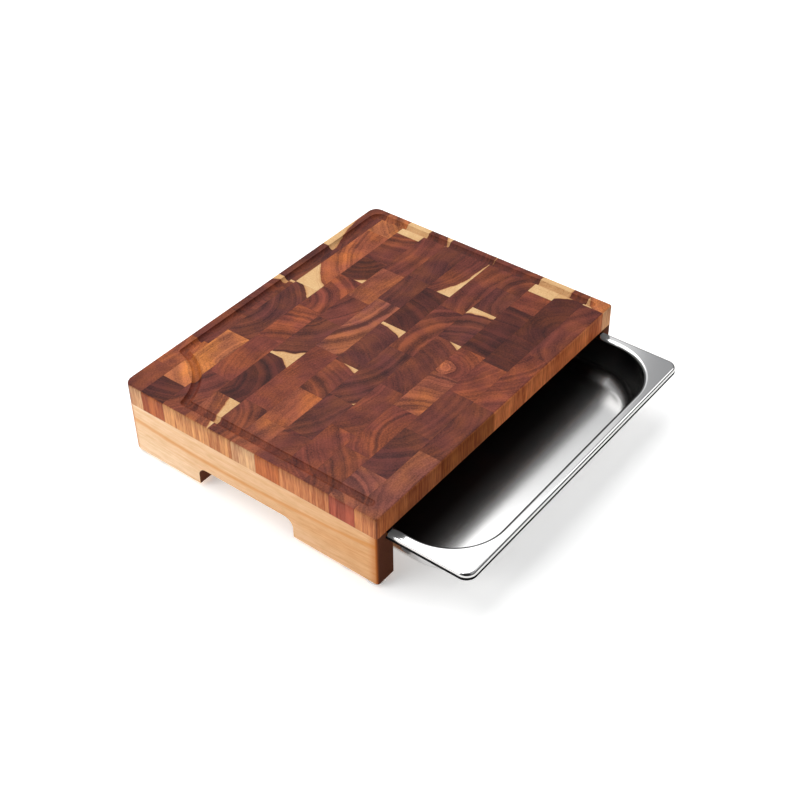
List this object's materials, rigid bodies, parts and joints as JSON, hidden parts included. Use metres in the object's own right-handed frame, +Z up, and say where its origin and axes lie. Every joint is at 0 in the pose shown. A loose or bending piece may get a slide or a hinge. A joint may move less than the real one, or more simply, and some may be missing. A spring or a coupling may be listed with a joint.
{
  "type": "cutting board with tray",
  "caption": "End-grain cutting board with a juice groove, raised on two side rails with arched sides, over a steel tray that slides out at the front.",
  "frame": {"origin": "centre of the board's top face, where things are cut", "axes": "+Z up out of the work surface, +X along the front edge towards the right-hand rail, -Y towards the user, which is the way the tray pulls out"},
  "size_m": [0.35, 0.3595, 0.077],
  "materials": {
    "end_grain": "oiled end grain",
    "rail_wood": "oiled",
    "screw_steel": "zinc plated",
    "silicone": "translucent matte",
    "tray_steel": "satin inside, polished flange"
  },
  "bodies": {
    "board": {"block_row_01": "end_grain", "block_row_02": "end_grain", "block_row_03": "end_grain", "block_row_04": "end_grain", "block_row_05": "end_grain", "block_row_06": "end_grain", "block_row_07": "end_grain", "block_row_08": "end_grain", "block_row_09": "end_grain", "block_row_10": "end_grain", "block_row_11": "end_grain", "left_rail": "rail_wood", "right_rail": "rail_wood", "left_rail_screws": "screw_steel", "right_rail_screws": "screw_steel", "front_left_foot": "silicone", "front_right_foot": "silicone", "back_left_foot": "silicone", "back_right_foot": "silicone"},
    "tray": {"steel_tray": "tray_steel"}
  },
  "joints": [
    {"name": "tray_slide", "type": "slide", "parent": "board", "child": "tray", "axis": [0, -1, 0], "range_m": [-0.087, 0.09]}
  ]
}
